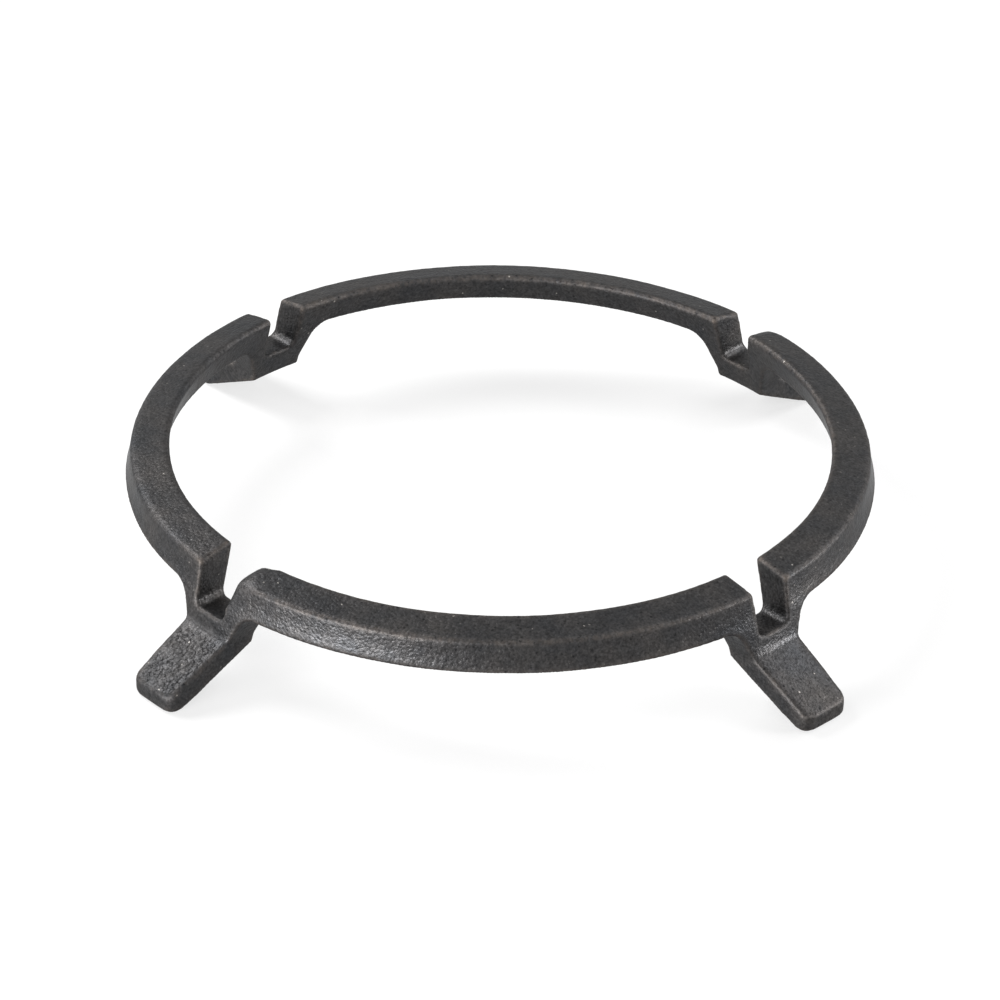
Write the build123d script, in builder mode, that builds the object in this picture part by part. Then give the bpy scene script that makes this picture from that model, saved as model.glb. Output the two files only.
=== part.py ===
import os
from math import cos, radians, sin, tan

from build123d import *

# Bar of the ring: it leans outwards and carries the wok on its sloping top face
seat_diameter = 202.0
seat_width = 12.5
seat_height = 37.6
bar_depth = 8.9
seat_fall = 9.5
bottom_fall = 12.5
inner_flare = 16.5
outer_flare = 11.8

# Legs: each runs down and outwards from the web under a slot to a small flat foot
leg_count = 4
tip_diameter = 277.2
tip_height = 5.6
foot_length = 4.2
leg_root_height = 16.4
web_height = 13.0
leg_width = 20.2
leg_taper = 2.2
flank_lean = 21.0
kink_drop = 0.5

# Finger slots: open at the top, so that the ring drops over the fingers of a pan support
slot_width = 13.4
slot_floor_height = 21.5
slot_draft = 2.5

# Radii that the sand mould leaves
seat_edge_radius = 1.4
edge_radius = 0.9
slot_floor_radius = 2.4
flank_radius = 6.0
kink_radius = 5.0
root_radius = 2.5
tip_radius = 3.0

# Faces that meet at less than this angle run on into each other and keep their edge
slight_angle = 15.0

# Sizes that follow from the ones above
seat_radius = seat_diameter / 2
ridge_radius = seat_radius + seat_width
ridge_height = seat_height - seat_width * tan(radians(seat_fall))
tip_reach = tip_diameter / 2
heel_reach = tip_reach - foot_length
clear_inside = seat_radius - seat_width
clear_outside = tip_reach + seat_width


def falling_line(radius, height, degrees):
    """A line of the ring's section that drops outwards by an angle below the level."""
    return Axis((radius, height), (cos(radians(degrees)), -sin(radians(degrees))))


def sharp_edges(casting):
    """The edges of a casting along which two faces meet at more than a slight angle."""
    found = ShapeList()
    for edge in casting.edges():
        middle = edge @ 0.5
        beside = [face for face in casting.faces() if any(edge.is_same(rim) for rim in face.edges())]
        normals = [face.normal_at(middle) for face in beside]
        if len(normals) == 2 and normals[0].get_angle(normals[1]) > slight_angle:
            found.append(edge)
    return found


# Lines and corners of the section, as radius and height
inner_face = falling_line(seat_radius, seat_height, 90 - inner_flare)
outer_face = falling_line(ridge_radius, ridge_height, 90 - outer_flare)
bar_bottom = falling_line(seat_radius, seat_height - bar_depth, bottom_fall)
leg_root = outer_face.intersect(falling_line(0, leg_root_height, 0))
web_corner = inner_face.intersect(falling_line(0, web_height, 0))
window_step = leg_root + Vector(root_radius, 0)
kink_height = leg_root_height - kink_drop
flank_spread = (seat_height - kink_height) * tan(radians(flank_lean))

# The section is drawn half way between two legs, so that its seam misses the slots
half_pitch = radians(180 / leg_count)
section_plane = Plane(
    (0, 0, 0),
    x_dir=(cos(half_pitch), sin(half_pitch), 0),
    z_dir=(sin(half_pitch), -cos(half_pitch), 0),
)

# Blank of one leg, seen along the radius: upright sides that flare out into the bar above
with BuildPart() as leg_blank:
    for side in (1, -1):
        taper = side * radians(leg_taper)
        outwards = Plane(
            (seat_radius, 0, 0),
            x_dir=(sin(taper), cos(taper), 0),
            z_dir=(cos(taper), -sin(taper), 0),
        )
        kink = Vector(side * leg_width / 2, kink_height)
        far_side = -2 * side * leg_width
        with BuildSketch(outwards) as leg_outline:
            with BuildLine():
                Polyline(
                    (far_side, -seat_height),
                    (kink.X, -seat_height),
                    kink,
                    (kink.X + side * flank_spread, seat_height),
                    (far_side, seat_height),
                    close=True,
                )
            make_face()
            fillet(leg_outline.vertices().sort_by_distance(kink)[0], radius=kink_radius)
        extrude(amount=tip_reach, both=True, mode=Mode.ADD if side > 0 else Mode.INTERSECT)
    split(bisect_by=Plane.YZ)

# Windows between the legs, under the bar, with the hollow that blends each flank into it
with BuildPart() as windows:
    with BuildSketch(section_plane):
        with BuildLine():
            Polyline(
                (clear_inside, -seat_height),
                (clear_outside, -seat_height),
                (clear_outside, window_step.Y),
                window_step,
                bar_bottom.intersect(falling_line(window_step.X, 0, 90)),
                bar_bottom.intersect(falling_line(clear_inside, 0, 90)),
                close=True,
            )
        make_face()
    revolve(axis=Axis.Z)
    with PolarLocations(0, leg_count):
        add(leg_blank.part, mode=Mode.SUBTRACT)
    fillet(windows.edges().filter_by(GeomType.HYPERBOLA), radius=flank_radius)

# The casting: bar, webs and legs share one swept section, cut by the windows and the slots
with BuildPart() as wok_ring:
    with BuildSketch(section_plane) as section:
        with BuildLine():
            Polyline(
                (seat_radius, seat_height),
                (ridge_radius, ridge_height),
                leg_root,
                (tip_reach, tip_height),
                (tip_reach, 0),
                (heel_reach, 0),
                web_corner,
                close=True,
            )
        make_face()
        fillet(section.vertices().group_by(Axis.Y)[-2:], radius=seat_edge_radius)
        fillet(section.vertices().sort_by_distance(leg_root)[0], radius=root_radius)
    revolve(axis=Axis.Z)
    add(windows.part, mode=Mode.SUBTRACT)
    fillet(wok_ring.edges().filter_by(Axis.Z), radius=tip_radius)
    slot_half = slot_width / 2
    floor_half = slot_half - (seat_height - slot_floor_height) * tan(radians(slot_draft))
    with BuildSketch(Plane.YZ) as slot_outline:
        with BuildLine():
            Polyline(
                (-slot_half, seat_height),
                (-floor_half, slot_floor_height),
                (floor_half, slot_floor_height),
                (slot_half, seat_height),
                close=True,
            )
        make_face()
        fillet(slot_outline.vertices().group_by(Axis.Y)[0], radius=slot_floor_radius)
    slot = extrude(amount=tip_reach, mode=Mode.PRIVATE)
    with PolarLocations(0, leg_count):
        add(slot, mode=Mode.SUBTRACT)

    fillet(sharp_edges(wok_ring), radius=edge_radius)

wok_ring.part.label = "wok_ring"
os.makedirs("parts", exist_ok=True)
export_step(wok_ring.part, "parts/wok_ring.step")
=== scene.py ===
from math import cos, hypot, radians, sin

import bmesh
import bpy
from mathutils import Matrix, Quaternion, Vector, noise
from mathutils.bvhtree import BVHTree
from mathutils.geometry import intersect_point_line


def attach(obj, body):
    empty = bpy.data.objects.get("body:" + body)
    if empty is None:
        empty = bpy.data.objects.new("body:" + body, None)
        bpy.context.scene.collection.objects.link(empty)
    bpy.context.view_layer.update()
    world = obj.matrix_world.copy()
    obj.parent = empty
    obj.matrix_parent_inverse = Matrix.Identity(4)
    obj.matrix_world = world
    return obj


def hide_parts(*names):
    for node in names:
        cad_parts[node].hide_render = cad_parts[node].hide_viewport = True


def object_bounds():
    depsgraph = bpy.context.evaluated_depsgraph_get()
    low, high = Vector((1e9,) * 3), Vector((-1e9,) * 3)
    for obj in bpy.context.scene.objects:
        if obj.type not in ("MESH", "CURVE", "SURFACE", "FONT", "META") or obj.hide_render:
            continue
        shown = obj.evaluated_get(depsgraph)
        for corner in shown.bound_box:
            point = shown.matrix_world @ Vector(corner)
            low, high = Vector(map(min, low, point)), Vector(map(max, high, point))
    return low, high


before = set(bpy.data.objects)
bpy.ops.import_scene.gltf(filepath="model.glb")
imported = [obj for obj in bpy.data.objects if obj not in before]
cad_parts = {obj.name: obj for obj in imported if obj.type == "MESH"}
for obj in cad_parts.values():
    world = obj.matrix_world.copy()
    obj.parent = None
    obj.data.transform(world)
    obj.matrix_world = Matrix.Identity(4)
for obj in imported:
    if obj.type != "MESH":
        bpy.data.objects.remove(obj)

cad_low, cad_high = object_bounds()

# The wok ring is one casting in grey iron, poured in a sand mould and left with the skin of the sand.
# Nothing is fixed to it. A fine even mesh over its CAD form takes the waviness, the lumps and the rubbed
# edges of a real casting. Front, left and right are as the camera sees the ring.
MM = 0.001
MERGE_GAP = 0.001 * MM
MESH_STEP = 0.71 * MM

iron_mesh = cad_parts["wok_ring"].data.copy()
iron_mesh.materials.clear()
merged = bmesh.new()
merged.from_mesh(iron_mesh)
bmesh.ops.remove_doubles(merged, verts=merged.verts, dist=MERGE_GAP)
merged.to_mesh(iron_mesh)
cad_surface = BVHTree.FromBMesh(merged)
merged.free()

wok_ring = bpy.data.objects.new("sand_cast_ring", iron_mesh)
bpy.context.scene.collection.objects.link(wok_ring)
remesh = wok_ring.modifiers.new("even_mesh", "REMESH")
remesh.mode = "VOXEL"
remesh.voxel_size = MESH_STEP
evaluated = wok_ring.evaluated_get(bpy.context.evaluated_depsgraph_get())
even_mesh = bpy.data.meshes.new_from_object(evaluated)
wok_ring.modifiers.clear()
wok_ring.data = even_mesh

casting = bmesh.new()
casting.from_mesh(even_mesh)
dull_edge = casting.verts.layers.float.new("dull_edge")
edge_wear = casting.verts.layers.float.new("edge_wear")
coarse_sand = casting.verts.layers.float.new("coarse_sand")


def share(value):
    """A value held between 0 and 1."""
    return min(1.0, max(0.0, value))


def facing(point):
    """The level direction from the ring's axis to a point."""
    return Vector((point.co.x, point.co.y, 0)).normalized()


def soften(points, passes):
    """Rubs points of the casting smooth: a pass draws each half way to the middle of its neighbours."""
    for _ in range(passes):
        bmesh.ops.smooth_vert(
            casting, verts=points, factor=0.5, use_axis_x=True, use_axis_y=True, use_axis_z=True
        )


def rub_round(distances, reaches, passes):
    """Softens the points near an edge, in reaches (mm) that close in on it, so the rounding fades out."""
    for reach in reaches:
        soften([point for point, distance in distances.items() if distance < reach * MM], passes)


# The even mesh is laid back on the CAD surface, so that it keeps the casting's exact form
soften(casting.verts, 1)
for point in casting.verts:
    point.co = cad_surface.find_nearest(point.co)[0]

# Two arc ends are rubbed round: most the front arc's left end, less the right arc's far end. Each is a
# line on the top of that end, with the reaches and the passes of its rubbing
WORN_ENDS = (
    (Vector((6.7, -114.0, 35.0)) * MM, Vector((6.7, -106.0, 36.6)) * MM, (9, 8, 7, 6, 5, 4), 16),
    (Vector((6.7, 113.0, 35.0)) * MM, Vector((6.7, 102.0, 37.0)) * MM, (6, 5, 4, 3), 8),
)
for outer_end, inner_end, reaches, passes in WORN_ENDS:
    from_end = {}
    for point in casting.verts:
        along = intersect_point_line(point.co, outer_end, inner_end)[1]
        from_end[point] = (point.co - outer_end.lerp(inner_end, share(along))).length
    rub_round(from_end, reaches, passes)

# The seat's outer edge is a little soft all round, and softer on the left arc, in spreads (degrees) that
# close in on the arc's middle. SEAT_EDGE_LEVEL is the level share of a line from the origin to that edge
SEAT_EDGE_RADIUS = 113.5 * MM
SEAT_EDGE_HEIGHT = 35.5 * MM
SEAT_EDGE_REACH = 3.5 * MM
SEAT_EDGE_PASSES = 3
SEAT_EDGE_LEVEL = 0.95
LEFT_ARC = Vector((-0.707, -0.707, 0))
LEFT_ARC_SPREADS = (36, 30, 24)
LEFT_ARC_PASSES = 2
seat_edge = []
for point in casting.verts:
    from_radius = hypot(point.co.x, point.co.y) - SEAT_EDGE_RADIUS
    if hypot(from_radius, point.co.z - SEAT_EDGE_HEIGHT) < SEAT_EDGE_REACH:
        seat_edge.append(point)
soften(seat_edge, SEAT_EDGE_PASSES)
for spread in LEFT_ARC_SPREADS:
    least = SEAT_EDGE_LEVEL * cos(radians(spread))
    soften([point for point in seat_edge if point.co.normalized().dot(LEFT_ARC) > least], LEFT_ARC_PASSES)

# The front right leg has a broader hollow at its root than the others, and all four tips are a little worn
BROAD_ROOT = Vector((117.5, 0, 16.4)) * MM
BROAD_ROOT_HALF_WIDTH = 8.7 * MM
BROAD_ROOT_REACHES = (4.5, 4, 3.5, 3)
BROAD_ROOT_PASSES = 8
WORN_TIP_START = 129 * MM
WORN_TIP_STEPS = 6
from_root = {}
for point in casting.verts:
    if abs(point.co.y) < BROAD_ROOT_HALF_WIDTH:
        from_root[point] = hypot(point.co.x - BROAD_ROOT.x, point.co.z - BROAD_ROOT.z)
rub_round(from_root, BROAD_ROOT_REACHES, BROAD_ROOT_PASSES)
for further in range(WORN_TIP_STEPS):
    start = WORN_TIP_START + further * MM
    soften([point for point in casting.verts if max(abs(point.co.x), abs(point.co.y)) > start], 1)
casting.normal_update()

# How far each point stands out from its neighbours: 1 along a rounded edge, 0 on a flat face
FULL_EDGE = 0.16
EDGE_BLENDS = 2
stands_out = {}
for point in casting.verts:
    around = [edge.other_vert(point).co for edge in point.link_edges]
    lean = [(point.co - other).normalized().dot(point.normal) for other in around]
    stands_out[point] = sum(lean) / len(lean)
for _ in range(EDGE_BLENDS):
    stands_out = {
        point: sum(stands_out[edge.other_vert(point)] for edge in point.link_edges) / len(point.link_edges)
        for point in casting.verts
    }
on_edge = {point: share(out / FULL_EDGE) for point, out in stands_out.items()}

# Hands and the wok rub the edges of the seat, most on the front arc and least on the soft left one. An
# arc starts and fades in by the cosine of the angle to its middle
FRONT_ARC = Vector((0.707, -0.707, 0))
ARC_START = 0.75
ARC_FADE = 0.15
SEAT_EDGES_ABOVE = 32 * MM
LOW_RUBBING = 0.6
SEAT_RUBBING = 0.7
FRONT_ARC_MORE = 0.3
LEFT_ARC_LESS = 0.5
for point in casting.verts:
    rubbing = LOW_RUBBING
    if point.co.z > SEAT_EDGES_ABOVE:
        on_front_arc = share((facing(point).dot(FRONT_ARC) - ARC_START) / ARC_FADE)
        on_left_arc = share((facing(point).dot(LEFT_ARC) - ARC_START) / ARC_FADE)
        rubbing = SEAT_RUBBING + FRONT_ARC_MORE * on_front_arc - LEFT_ARC_LESS * on_left_arc
    point[dull_edge] = on_edge[point]
    point[edge_wear] = rubbing * on_edge[point]

# Waves and lumps all over and, on top of the front left leg, the coarser sand of a patched mould. The
# bar's outer face has drawn in a little as the iron shrank. Nothing leaves the CAD box
WAVE_SIZE = 22 * MM
WAVE_DEPTH = 0.12 * MM
LUMP_SIZE = 1.9 * MM
LUMP_DEPTH = 0.05 * MM
COARSE_SIZE = 1.3 * MM
COARSE_DEPTH = 0.10 * MM
COARSE_SHIFT = Vector((7, 3, 1))
COARSE_LEG_START = 117 * MM
COARSE_LEG_FADE = 3 * MM
UPWARD_START = 0.7
UPWARD_FADE = 0.15
OUTWARD_LEAST = 0.9
BAR_BOTTOM = 25.5 * MM
HOLLOW_DEPTH = 0.3 * MM
for point in casting.verts:
    wave = WAVE_DEPTH * noise.noise(point.co / WAVE_SIZE)
    lump = LUMP_DEPTH * noise.noise(point.co / LUMP_SIZE)
    grit = noise.noise(point.co / COARSE_SIZE + COARSE_SHIFT)
    upwards = share((point.normal.z - UPWARD_START) / UPWARD_FADE)
    on_leg = share((-point.co.y - COARSE_LEG_START) / COARSE_LEG_FADE)
    point[coarse_sand] = upwards * on_leg * (1 - on_edge[point])
    height = wave + lump + COARSE_DEPTH * point[coarse_sand] * grit
    level = (point.co.z - BAR_BOTTOM) / (SEAT_EDGE_HEIGHT - BAR_BOTTOM)
    if point.normal.dot(facing(point)) > OUTWARD_LEAST and 0 < level < 1:
        height -= HOLLOW_DEPTH * 4 * level * (1 - level)
    moved = point.co + point.normal * height
    point.co = [min(max(c, least), most) for c, least, most in zip(moved, cad_low, cad_high)]
casting.to_mesh(even_mesh)
casting.free()
for face in even_mesh.polygons:
    face.use_smooth = True


def linear(hex_colour):
    """An sRGB hex colour as the linear colour with alpha that a socket takes."""
    channels = [int(hex_colour[i : i + 2], 16) / 255 for i in (1, 3, 5)]
    return [c / 12.92 if c <= 0.04045 else ((c + 0.055) / 1.055) ** 2.4 for c in channels] + [1.0]


def add_node(tree, kind, settings=None, inputs=None):
    """A new node with its settings; an input is a value, or the output socket to link from."""
    node = tree.nodes.new(kind)
    for name, value in (settings or {}).items():
        setattr(node, name, value)
    for name, value in (inputs or {}).items():
        if isinstance(value, bpy.types.NodeSocket):
            tree.links.new(value, node.inputs[name])
        else:
            node.inputs[name].default_value = value
    return node


# Sand-cast grey iron with a thin oxide skin: charcoal, satin, grainy from the sand. Edges are rubbed
# to a lighter brown grey, grains of sand stay as bright specks, and lost grains leave dark pits.
# Moulding sand is finer, about 0.3 mm, so its grains are drawn coarse enough to show.
DARK_SKIN = "#2e2f31"
LIGHT_SKIN = "#3b3938"
RUBBED_IRON = "#6b625b"
SAND_SPECK = "#94908b"
DARK_PIT = "#151516"
REFLECTION_TINT = "#d8d8d8"
SKIN_PATCH_SIZE = 16 * MM
GRAIN_SIZE = 0.75 * MM
SAND_SIZE = 0.95 * MM
RUB_SIZE = 2.2 * MM
SPECK_SPACING = 3.2 * MM
PIT_SPACING = 2.1 * MM
SKIN_LUMP_SIZE = 1.7 * MM
PATCH_SAND_SIZE = 1.2 * MM
EDGE_ROUGHNESS = 0.68

sand_cast_iron = bpy.data.materials.new("sand_cast_iron")
sand_cast_iron.use_nodes = True
iron_tree = sand_cast_iron.node_tree
iron_tree.nodes.clear()
place = add_node(iron_tree, "ShaderNodeTexCoord").outputs["Object"]
wear, edge_share, coarse_share = [
    add_node(iron_tree, "ShaderNodeAttribute", {"attribute_name": name}).outputs["Fac"]
    for name in ("edge_wear", "dull_edge", "coarse_sand")
]

# Patches in the oxide skin, and the tone of each grain of the sand on them
cloud = add_node(
    iron_tree,
    "ShaderNodeTexNoise",
    inputs={"Vector": place, "Scale": 1 / SKIN_PATCH_SIZE, "Detail": 5.0, "Roughness": 0.6},
).outputs["Fac"]
skin_ramp = add_node(iron_tree, "ShaderNodeValToRGB", inputs={"Fac": cloud})
for stop, position, colour in zip(skin_ramp.color_ramp.elements, (0.30, 0.70), (DARK_SKIN, LIGHT_SKIN)):
    stop.position = position
    stop.color = linear(colour)
grain = add_node(
    iron_tree,
    "ShaderNodeTexNoise",
    inputs={"Vector": place, "Scale": 1 / GRAIN_SIZE, "Detail": 2.0, "Roughness": 0.6},
).outputs["Fac"]
grain_tone = add_node(
    iron_tree,
    "ShaderNodeMapRange",
    inputs={"Value": grain, "From Min": 0.3, "From Max": 0.7, "To Min": 0.66, "To Max": 1.34},
).outputs["Result"]
sand = add_node(iron_tree, "ShaderNodeTexVoronoi", inputs={"Vector": place, "Scale": 1 / SAND_SIZE}).outputs
sand_tone = add_node(
    iron_tree,
    "ShaderNodeMapRange",
    inputs={"Value": sand["Color"], "From Min": 0.2, "From Max": 0.8, "To Min": 0.82, "To Max": 1.18},
).outputs["Result"]
tone = add_node(
    iron_tree, "ShaderNodeMath", {"operation": "MULTIPLY"}, {0: grain_tone, 1: sand_tone}
).outputs["Value"]
grained = add_node(
    iron_tree,
    "ShaderNodeMix",
    {"data_type": "RGBA", "blend_type": "MULTIPLY"},
    {"Factor": 1.0, "A": skin_ramp.outputs["Color"], "B": tone},
).outputs["Result"]

# Rubbed edges, broken up into patches
rub = add_node(
    iron_tree,
    "ShaderNodeTexNoise",
    inputs={"Vector": place, "Scale": 1 / RUB_SIZE, "Detail": 5.0, "Roughness": 0.75},
).outputs["Fac"]
rub_patch = add_node(
    iron_tree, "ShaderNodeMapRange", inputs={"Value": rub, "From Min": 0.36, "From Max": 0.62}
).outputs["Result"]
thin_wear = add_node(iron_tree, "ShaderNodeMath", {"operation": "POWER"}, {0: wear, 1: 2.0}).outputs["Value"]
rubbed = add_node(
    iron_tree, "ShaderNodeMath", {"operation": "MULTIPLY"}, {0: thin_wear, 1: rub_patch}
).outputs["Value"]
rub_share = add_node(
    iron_tree, "ShaderNodeMapRange", inputs={"Value": rubbed, "From Max": 0.6, "To Max": 0.80}
).outputs["Result"]
worn = add_node(
    iron_tree,
    "ShaderNodeMix",
    {"data_type": "RGBA"},
    {"Factor": rub_share, "A": grained, "B": linear(RUBBED_IRON)},
).outputs["Result"]

# Specks where a grain of sand stayed, pits where one was lost
speck = add_node(
    iron_tree, "ShaderNodeTexVoronoi", inputs={"Vector": place, "Scale": 1 / SPECK_SPACING}
).outputs["Distance"]
speck_dot = add_node(
    iron_tree,
    "ShaderNodeMapRange",
    inputs={"Value": speck, "From Min": 0.05, "From Max": 0.13, "To Min": 1.0, "To Max": 0.0},
).outputs["Result"]
speck_patch = add_node(
    iron_tree, "ShaderNodeMapRange", inputs={"Value": rub, "From Min": 0.54, "From Max": 0.60}
).outputs["Result"]
speck_share = add_node(
    iron_tree, "ShaderNodeMath", {"operation": "MULTIPLY"}, {0: speck_dot, 1: speck_patch}
).outputs["Value"]
specked = add_node(
    iron_tree,
    "ShaderNodeMix",
    {"data_type": "RGBA"},
    {"Factor": speck_share, "A": worn, "B": linear(SAND_SPECK)},
).outputs["Result"]
pit = add_node(
    iron_tree, "ShaderNodeTexVoronoi", inputs={"Vector": place, "Scale": 1 / PIT_SPACING}
).outputs["Distance"]
pit_dot = add_node(
    iron_tree,
    "ShaderNodeMapRange",
    inputs={"Value": pit, "From Min": 0.14, "From Max": 0.26, "To Min": 0.75, "To Max": 0.0},
).outputs["Result"]
pit_patch = add_node(
    iron_tree, "ShaderNodeMapRange", inputs={"Value": rub, "From Min": 0.52, "From Max": 0.44}
).outputs["Result"]
pit_share = add_node(
    iron_tree, "ShaderNodeMath", {"operation": "MULTIPLY"}, {0: pit_dot, 1: pit_patch}
).outputs["Value"]
skin = add_node(
    iron_tree,
    "ShaderNodeMix",
    {"data_type": "RGBA"},
    {"Factor": pit_share, "A": specked, "B": linear(DARK_PIT)},
).outputs["Result"]

# Gloss that follows the patches in the skin, duller along the edges
gloss = add_node(
    iron_tree,
    "ShaderNodeMapRange",
    inputs={"Value": cloud, "From Min": 0.3, "From Max": 0.7, "To Min": 0.34, "To Max": 0.45},
).outputs["Result"]
dullness = add_node(
    iron_tree, "ShaderNodeMix", inputs={"Factor": edge_share, "A": gloss, "B": EDGE_ROUGHNESS}
).outputs["Result"]

# Relief of the skin: soft lumps, then the sand and its grain, and on one leg the coarse sand of the patch
lumps = add_node(
    iron_tree,
    "ShaderNodeTexNoise",
    inputs={"Vector": place, "Scale": 1 / SKIN_LUMP_SIZE, "Detail": 2.0, "Roughness": 0.5},
).outputs["Fac"]
lump_relief = add_node(
    iron_tree, "ShaderNodeBump", inputs={"Strength": 0.22, "Distance": 0.3 * MM, "Height": lumps}
).outputs["Normal"]
sand_relief = add_node(
    iron_tree,
    "ShaderNodeBump",
    {"invert": True},
    {"Strength": 0.6, "Distance": 0.12 * MM, "Height": sand["Distance"], "Normal": lump_relief},
).outputs["Normal"]
grain_relief = add_node(
    iron_tree,
    "ShaderNodeBump",
    inputs={"Strength": 0.6, "Distance": 0.2 * MM, "Height": grain, "Normal": sand_relief},
).outputs["Normal"]
patch_sand = add_node(
    iron_tree, "ShaderNodeTexVoronoi", inputs={"Vector": place, "Scale": 1 / PATCH_SAND_SIZE}
).outputs["Distance"]
relief = add_node(
    iron_tree,
    "ShaderNodeBump",
    {"invert": True},
    {"Strength": coarse_share, "Distance": 0.36 * MM, "Height": patch_sand, "Normal": grain_relief},
).outputs["Normal"]
iron_shader = add_node(
    iron_tree,
    "ShaderNodeBsdfPrincipled",
    inputs={
        "Base Color": skin,
        "Metallic": 0.9,
        "Roughness": dullness,
        "Specular Tint": linear(REFLECTION_TINT),
        "Normal": relief,
    },
)
add_node(iron_tree, "ShaderNodeOutputMaterial", inputs={"Surface": iron_shader.outputs["BSDF"]})

even_mesh.materials.append(sand_cast_iron)
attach(wok_ring, "root")
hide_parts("wok_ring")

# Floor of matt white paper that the feet stand on. Near the ring it shows seven tenths of the way to
# plain white, so that the soft shadow stays, and further off it goes all the way.
FLOOR_REACH = 4.0
SHADOW_REACH = 0.25
WHITE_REACH = 0.65
NEAR_WHITENESS = 0.7
PAPER_WHITE = "#fafafa"
PLAIN_WHITE = "#ffffff"


def seen_by_eye(tree):
    """1 for rays that come from the camera, a reflection or a clear body, and 0 for scattered light."""
    ray = add_node(tree, "ShaderNodeLightPath").outputs
    seen = ray["Is Camera Ray"]
    for kind in ("Is Glossy Ray", "Is Transmission Ray"):
        either = add_node(tree, "ShaderNodeMath", {"operation": "MAXIMUM"}, {0: seen, 1: ray[kind]})
        seen = either.outputs["Value"]
    return seen


floor_mesh = bpy.data.meshes.new("floor")
sheet = bmesh.new()
bmesh.ops.create_grid(sheet, x_segments=1, y_segments=1, size=FLOOR_REACH)
sheet.to_mesh(floor_mesh)
sheet.free()
floor = bpy.data.objects.new("floor", floor_mesh)
bpy.context.scene.collection.objects.link(floor)
white_paper = bpy.data.materials.new("matt_white_paper")
white_paper.use_nodes = True
paper_tree = white_paper.node_tree
paper_tree.nodes.clear()
spot = add_node(paper_tree, "ShaderNodeTexCoord").outputs["Object"]
away = add_node(paper_tree, "ShaderNodeVectorMath", {"operation": "LENGTH"}, {0: spot}).outputs["Value"]
whiteness = add_node(
    paper_tree,
    "ShaderNodeMapRange",
    inputs={"Value": away, "From Min": SHADOW_REACH, "From Max": WHITE_REACH, "To Min": NEAR_WHITENESS},
).outputs["Result"]
glow_share = add_node(
    paper_tree, "ShaderNodeMath", {"operation": "MULTIPLY"}, {0: seen_by_eye(paper_tree), 1: whiteness}
).outputs["Value"]
paper = add_node(paper_tree, "ShaderNodeBsdfDiffuse", inputs={"Color": linear(PAPER_WHITE)}).outputs["BSDF"]
glow = add_node(paper_tree, "ShaderNodeEmission", inputs={"Color": linear(PLAIN_WHITE)}).outputs["Emission"]
lit_paper = add_node(paper_tree, "ShaderNodeMixShader", inputs={0: glow_share, 1: paper, 2: glow})
add_node(paper_tree, "ShaderNodeOutputMaterial", inputs={"Surface": lit_paper.outputs["Shader"]})
floor_mesh.materials.append(white_paper)

# White studio room round the floor. It shows as plain white, and its walls throw a weak light on the
# ring from all sides.
ROOM_LIGHT = 0.2
studio = bpy.data.worlds.new("white_studio")
bpy.context.scene.world = studio
studio.use_nodes = True
room_tree = studio.node_tree
room_tree.nodes.clear()
brightness = add_node(
    room_tree, "ShaderNodeMapRange", inputs={"Value": seen_by_eye(room_tree), "To Min": ROOM_LIGHT}
).outputs["Result"]
room = add_node(
    room_tree, "ShaderNodeBackground", inputs={"Color": linear(PLAIN_WHITE), "Strength": brightness}
)
add_node(room_tree, "ShaderNodeOutputWorld", inputs={"Surface": room.outputs["Background"]})

# Five studio lamps, each turned to the ring. Low strips at the left, the right and the far left draw the
# outer faces and the leg tips, and two high soft boxes, behind on the left and at the right, light the
# seat. Sizes and places are in metres, powers in watts.
for name, width, depth, watts, stand in (
    ("left_strip", 0.75, 0.22, 29.5, (0.06, -1.25, 0.13)),
    ("back_left_soft_box", 0.7, 0.7, 19.0, (-0.95, -0.32, 0.92)),
    ("right_soft_box", 0.8, 0.8, 8.5, (0.40, 0.94, 0.88)),
    ("right_strip", 0.4, 0.36, 15.5, (0.95, 0.85, 0.20)),
    ("back_left_strip", 0.4, 0.36, 4.0, (-0.94, -0.80, 0.20)),
):
    lamp = bpy.data.lights.new(name, "AREA")
    lamp.shape = "RECTANGLE"
    lamp.size = width
    lamp.size_y = depth
    lamp.energy = watts
    soft_box = bpy.data.objects.new(name, lamp)
    soft_box.location = stand
    soft_box.rotation_euler = (-Vector(stand)).to_track_quat("-Z", "Y").to_euler()
    bpy.context.scene.collection.objects.link(soft_box)

# Camera at the photograph's angle: a long lens, a little above the ring and a hair out of level. It aims
# at the height of the seat's outer edge, and its shift sets the ring at its place in the picture.
AZIMUTH = radians(46.294)
ELEVATION = radians(31.536)
ROLL = radians(0.991)
FOCAL_LENGTH = 129.23
CAMERA_DISTANCE = 1104.0 * MM
CAMERA_SHIFT = Vector((-0.28 * MM, -19.39 * MM, 0))
back = Vector((sin(AZIMUTH) * cos(ELEVATION), -cos(AZIMUTH) * cos(ELEVATION), sin(ELEVATION)))
turn = Quaternion(back, ROLL) @ (-back).to_track_quat("-Z", "Y")
lens = bpy.data.cameras.new("camera")
lens.lens = FOCAL_LENGTH
camera = bpy.data.objects.new("camera", lens)
camera.rotation_mode = "QUATERNION"
camera.rotation_quaternion = turn
camera.location = Vector((0, 0, SEAT_EDGE_HEIGHT)) + turn @ CAMERA_SHIFT + back * CAMERA_DISTANCE
bpy.context.scene.collection.objects.link(camera)
bpy.context.scene.camera = camera
bpy.context.scene.view_settings.view_transform = "Standard"
